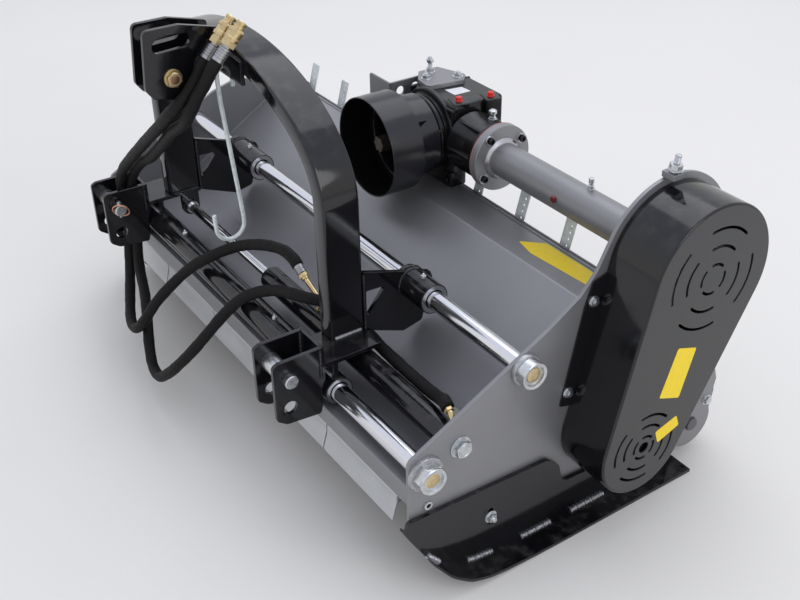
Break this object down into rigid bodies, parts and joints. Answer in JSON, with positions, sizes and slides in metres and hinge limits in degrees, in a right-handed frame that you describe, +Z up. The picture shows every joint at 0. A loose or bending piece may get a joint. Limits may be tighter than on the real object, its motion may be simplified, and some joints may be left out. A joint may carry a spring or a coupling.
{
  "type": "tractor mulcher",
  "caption": "Tractor flail mulcher: hooded hammer rotor on skids and a rear roller, belt drive at one side, gearbox on top, and an arched headstock that slides sideways on two bars.",
  "frame": {"origin": "on the ground, centred under the machine without its free hoses", "axes": "+X across the machine to the belt drive side, +Y to the rear, away from the tractor, +Z up"},
  "size_m": [1.5356, 0.9463, 0.917],
  "materials": {
    "gloss_black": "gloss black paint",
    "steel_grey": "satin steel grey paint",
    "satin_grey": "satin dark grey paint",
    "chrome": "polished hard chrome",
    "zinc": "bright zinc plate",
    "yellow_zinc": "yellow passivated zinc plate",
    "brass": "machined brass",
    "copper": "copper coloured plate on spring steel",
    "casting": "black painted casting",
    "plastic_black": "satin black plastic",
    "rubber_black": "matt black rubber",
    "sleeve_black": "woven black sleeve",
    "forged": "dark forged steel"
  },
  "bodies": {
    "mower": {"side_plate_drive": "steel_grey", "side_plate_idle": "steel_grey", "hood_shell": "steel_grey", "upper_slide_bar": "chrome", "lower_slide_bar": "chrome", "front_beam": "satin_grey", "skid_drive": "gloss_black", "skid_idle": "gloss_black", "roller_bracket_drive": "steel_grey", "roller_bracket_idle": "steel_grey", "rotor_bearing_drive": "casting", "rotor_bearing_idle": "casting", "drive_belt": "rubber_black", "belt_cover": "gloss_black", "belt_tensioner": "zinc", "drive_tube": "steel_grey", "gearbox_housing": "casting", "gearbox_bracket": "steel_grey", "pto_guard": "plastic_black", "rake_bar": "zinc", "cylinder_barrel": "gloss_black", "cylinder_elbow_a": "brass", "cylinder_elbow_b": "brass"},
    "headstock": {"headstock_arch": "gloss_black", "top_link_clevis": "gloss_black", "top_link_bolt": "yellow_zinc", "hitch_bracket_drive": "gloss_black", "hitch_bracket_idle": "gloss_black", "slide_carrier_drive": "gloss_black", "slide_carrier_idle": "gloss_black", "lower_slide_tube": "gloss_black", "hitch_pin_drive": "zinc", "hitch_pin_idle": "zinc", "linch_ring_drive": "copper", "linch_ring_idle": "copper", "cylinder_rod": "chrome", "coupler_a": "brass", "coupler_b": "brass", "hose_a": "sleeve_black", "hose_b": "sleeve_black"},
    "hook": {"hose_hook": "zinc"},
    "rotor": {"rotor_drum": "satin_grey", "lower_pulley": "satin_grey"},
    "drive_line": {"drive_shaft": "zinc", "upper_pulley": "satin_grey"},
    "input": {"input_shaft": "zinc"},
    "roller": {"rear_roller": "satin_grey"},
    "flap_1": {"front_flap_1": "zinc"},
    "flap_2": {"front_flap_2": "zinc"},
    "flap_3": {"front_flap_3": "zinc"},
    "flap_4": {"front_flap_4": "zinc"},
    "flap_5": {"front_flap_5": "zinc"},
    "swing_hammer_1": {"hammer_1": "forged"},
    "swing_hammer_2": {"hammer_2": "forged"},
    "swing_hammer_3": {"hammer_3": "forged"},
    "swing_hammer_4": {"hammer_4": "forged"},
    "swing_hammer_5": {"hammer_5": "forged"},
    "swing_hammer_6": {"hammer_6": "forged"},
    "swing_hammer_7": {"hammer_7": "forged"},
    "swing_hammer_8": {"hammer_8": "forged"}
  },
  "joints": [
    {"name": "side_shift", "type": "slide", "parent": "mower", "child": "headstock", "axis": [1, 0, 0], "range_m": [-0.07, 0.24], "deforming": ["hose_a", "hose_b"]},
    {"name": "hook_swing", "type": "hinge", "parent": "headstock", "child": "hook", "pos_m": [-0.06075, -0.29247, 0.8054], "axis": [0, 1, 0], "range_deg": [-25, 12]},
    {"name": "rotor_spin", "type": "hinge", "parent": "mower", "child": "rotor", "pos_m": [-0.02775, 0.11083, 0.2147], "axis": [1, 0, 0], "continuous": true},
    {"name": "drive_shaft_spin", "type": "hinge", "parent": "mower", "child": "drive_line", "pos_m": [0.67225, 0.23683, 0.5456], "axis": [1, 0, 0], "continuous": true},
    {"name": "input_spin", "type": "hinge", "parent": "mower", "child": "input", "pos_m": [-0.05575, 0.10583, 0.5456], "axis": [0, 1, 0], "continuous": true},
    {"name": "roller_spin", "type": "hinge", "parent": "mower", "child": "roller", "pos_m": [-0.02775, 0.37583, 0.0755], "axis": [1, 0, 0], "continuous": true},
    {"name": "flap_1_swing", "type": "hinge", "parent": "mower", "child": "flap_1", "pos_m": [-0.52775, -0.33017, 0.197], "axis": [1, 0, 0], "range_deg": [-8, 60]},
    {"name": "flap_2_swing", "type": "hinge", "parent": "mower", "child": "flap_2", "pos_m": [-0.27775, -0.33017, 0.197], "axis": [1, 0, 0], "range_deg": [-8, 60]},
    {"name": "flap_3_swing", "type": "hinge", "parent": "mower", "child": "flap_3", "pos_m": [-0.02775, -0.33017, 0.197], "axis": [1, 0, 0], "range_deg": [-8, 60]},
    {"name": "flap_4_swing", "type": "hinge", "parent": "mower", "child": "flap_4", "pos_m": [0.22225, -0.33017, 0.197], "axis": [1, 0, 0], "range_deg": [-8, 60]},
    {"name": "flap_5_swing", "type": "hinge", "parent": "mower", "child": "flap_5", "pos_m": [0.47225, -0.33017, 0.197], "axis": [1, 0, 0], "range_deg": [-8, 60]},
    {"name": "hammer_1_swing", "type": "hinge", "parent": "rotor", "child": "swing_hammer_1", "pos_m": [-0.57025, 0.02283, 0.2147], "axis": [-1, 0, 0], "range_deg": [-8, 188]},
    {"name": "hammer_2_swing", "type": "hinge", "parent": "rotor", "child": "swing_hammer_2", "pos_m": [-0.41525, 0.19883, 0.2147], "axis": [1, 0, 0], "range_deg": [-8, 188]},
    {"name": "hammer_3_swing", "type": "hinge", "parent": "rotor", "child": "swing_hammer_3", "pos_m": [-0.26025, 0.02283, 0.2147], "axis": [-1, 0, 0], "range_deg": [-8, 188]},
    {"name": "hammer_4_swing", "type": "hinge", "parent": "rotor", "child": "swing_hammer_4", "pos_m": [-0.10525, 0.19883, 0.2147], "axis": [1, 0, 0], "range_deg": [-8, 188]},
    {"name": "hammer_5_swing", "type": "hinge", "parent": "rotor", "child": "swing_hammer_5", "pos_m": [0.04975, 0.02283, 0.2147], "axis": [-1, 0, 0], "range_deg": [-8, 188]},
    {"name": "hammer_6_swing", "type": "hinge", "parent": "rotor", "child": "swing_hammer_6", "pos_m": [0.20475, 0.19883, 0.2147], "axis": [1, 0, 0], "range_deg": [-8, 188]},
    {"name": "hammer_7_swing", "type": "hinge", "parent": "rotor", "child": "swing_hammer_7", "pos_m": [0.35975, 0.02283, 0.2147], "axis": [-1, 0, 0], "range_deg": [-8, 188]},
    {"name": "hammer_8_swing", "type": "hinge", "parent": "rotor", "child": "swing_hammer_8", "pos_m": [0.51475, 0.19883, 0.2147], "axis": [1, 0, 0], "range_deg": [-8, 188]}
  ],
  "couplings": [
    {"joint": "drive_shaft_spin", "follows": "rotor_spin", "ratio": 0.698},
    {"joint": "input_spin", "follows": "rotor_spin", "ratio": 0.2327}
  ]
}
